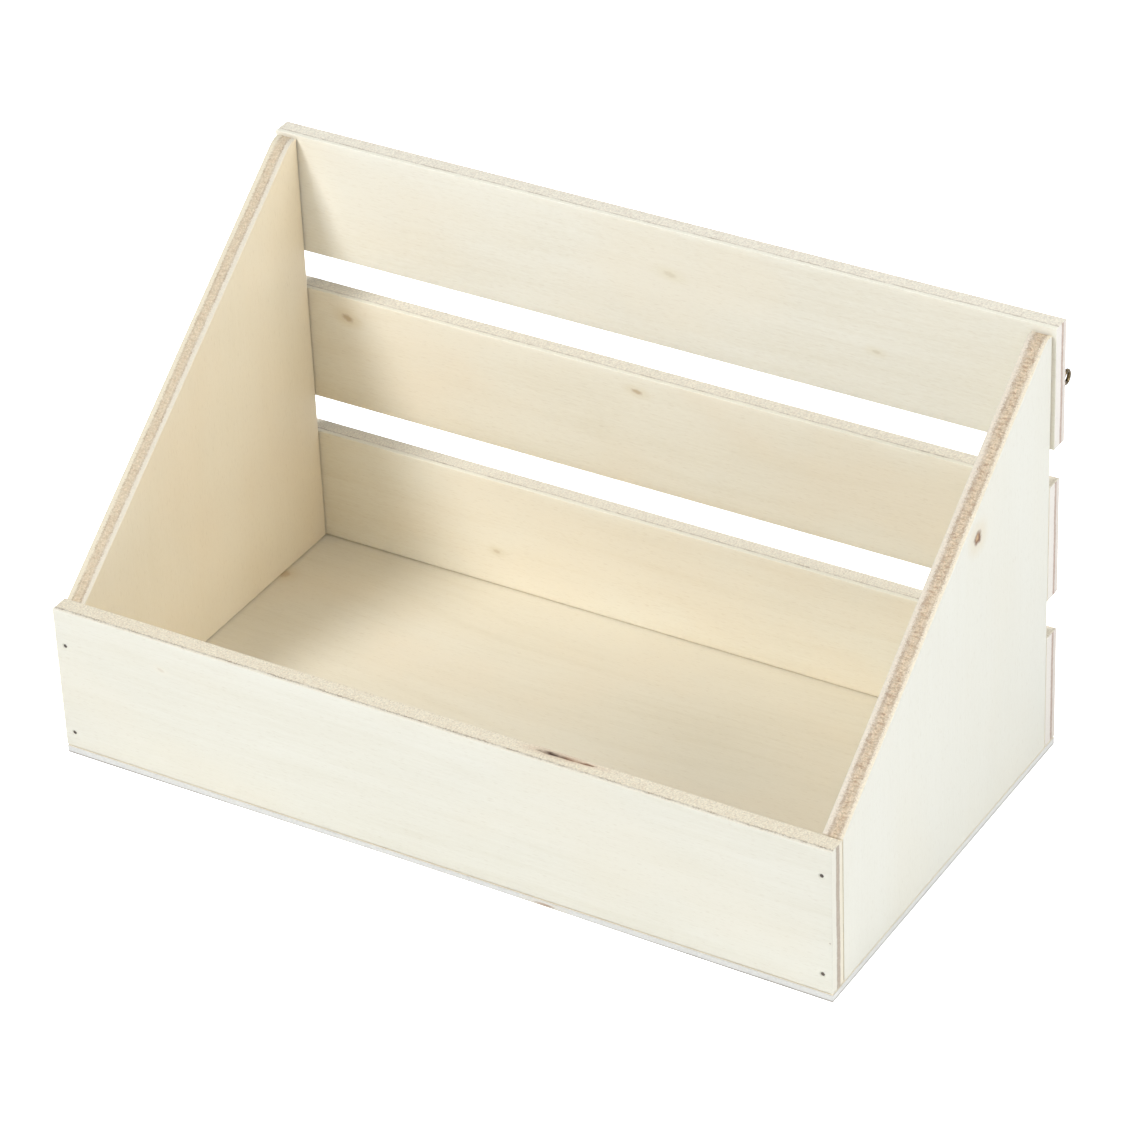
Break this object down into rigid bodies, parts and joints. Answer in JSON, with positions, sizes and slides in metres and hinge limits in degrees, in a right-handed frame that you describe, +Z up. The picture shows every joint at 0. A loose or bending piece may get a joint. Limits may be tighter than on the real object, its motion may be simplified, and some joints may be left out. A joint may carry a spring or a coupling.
{
  "type": "paint rack organizer",
  "caption": "Open plywood desk bin with sloping sides, a low front board, a slatted back and screw eyes behind, for paint bottles, brushes and hobby supplies.",
  "frame": {"origin": "centre of the bounding box's underside, screw eyes included, on the surface that the bin stands on", "axes": "+X to the right along the front board, +Y from the front board towards the slatted back, +Z up"},
  "size_m": [0.2564, 0.149, 0.1434],
  "materials": {
    "base_plywood": "bare sanded plywood",
    "front_plywood": "bare sanded plywood",
    "side_plywood": "bare sanded plywood",
    "slat_plywood": "bare sanded plywood",
    "nail_steel": "dull steel wire",
    "eye_metal": "dark bronze plating on steel wire"
  },
  "bodies": {
    "root": {"base_panel": "base_plywood", "front_board": "front_plywood", "left_side_panel": "side_plywood", "right_side_panel": "side_plywood", "back_slat_bottom": "slat_plywood", "back_slat_middle": "slat_plywood", "back_slat_top": "slat_plywood", "base_nail_back_1": "nail_steel", "base_nail_back_2": "nail_steel", "base_nail_front_1": "nail_steel", "base_nail_front_2": "nail_steel", "base_nail_front_3": "nail_steel", "base_nail_left_1": "nail_steel", "base_nail_left_2": "nail_steel", "base_nail_left_3": "nail_steel", "base_nail_right_1": "nail_steel", "base_nail_right_2": "nail_steel", "base_nail_right_3": "nail_steel", "bottom_slat_nail_left_lower": "nail_steel", "bottom_slat_nail_left_upper": "nail_steel", "bottom_slat_nail_right_lower": "nail_steel", "bottom_slat_nail_right_upper": "nail_steel", "front_nail_left_lower": "nail_steel", "front_nail_left_upper": "nail_steel", "front_nail_right_lower": "nail_steel", "front_nail_right_upper": "nail_steel", "middle_slat_nail_left_lower": "nail_steel", "middle_slat_nail_left_upper": "nail_steel", "middle_slat_nail_right_lower": "nail_steel", "middle_slat_nail_right_upper": "nail_steel", "top_slat_nail_left_lower": "nail_steel", "top_slat_nail_left_upper": "nail_steel", "top_slat_nail_right_lower": "nail_steel", "top_slat_nail_right_upper": "nail_steel", "screw_eye_left": "eye_metal", "screw_eye_right": "eye_metal"}
  },
  "joints": []
}
